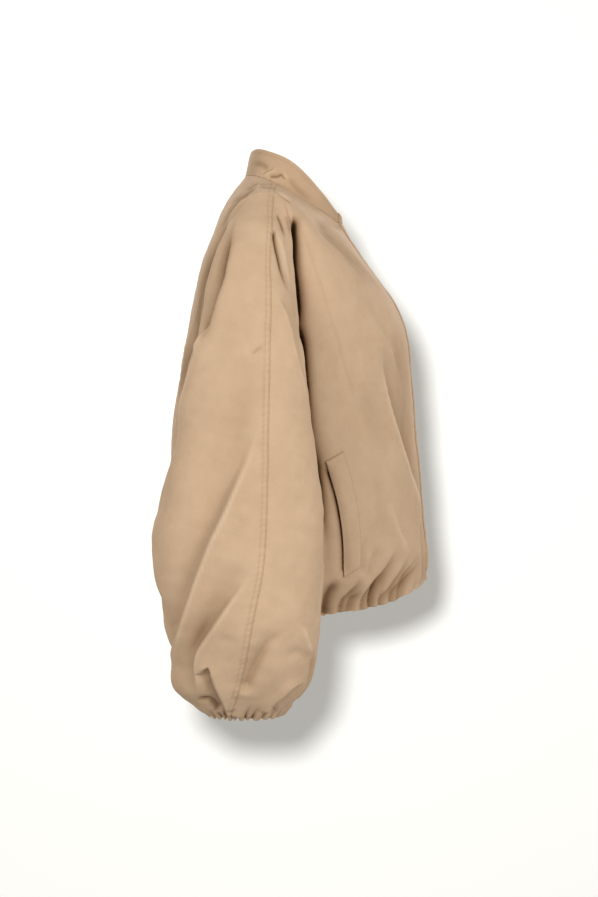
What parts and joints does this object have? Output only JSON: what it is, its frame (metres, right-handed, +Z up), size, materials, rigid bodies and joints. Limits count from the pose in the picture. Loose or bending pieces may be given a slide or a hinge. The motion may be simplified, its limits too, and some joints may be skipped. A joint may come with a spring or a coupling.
{
  "type": "bomber jacket",
  "caption": "Cropped bomber jacket with a stand collar, balloon sleeves, a concealed front and an elastic hem and cuffs, hollow as worn.",
  "frame": {"origin": "middle of the neck, level with the top of the shoulders, where the wearer holds the jacket up", "axes": "+Z up, front of the jacket towards -Y, the wearer's left towards +X"},
  "size_m": [0.8075, 0.4103, 0.8211],
  "materials": {
    "body_cloth": "peached tan cotton, matt with a soft nap",
    "collar_cloth": "peached tan cotton, two layers, edge stitched",
    "sleeve_cloth": "peached tan cotton, felled and topstitched seams",
    "welt_cloth": "peached tan cotton, folded double"
  },
  "bodies": {
    "root": {"front_right": "body_cloth", "front_left": "body_cloth", "back": "body_cloth", "collar": "collar_cloth", "sleeve_right_front": "sleeve_cloth", "sleeve_right_back": "sleeve_cloth", "sleeve_left_front": "sleeve_cloth", "sleeve_left_back": "sleeve_cloth", "pocket_welt_right": "welt_cloth", "pocket_welt_left": "welt_cloth"}
  },
  "joints": []
}
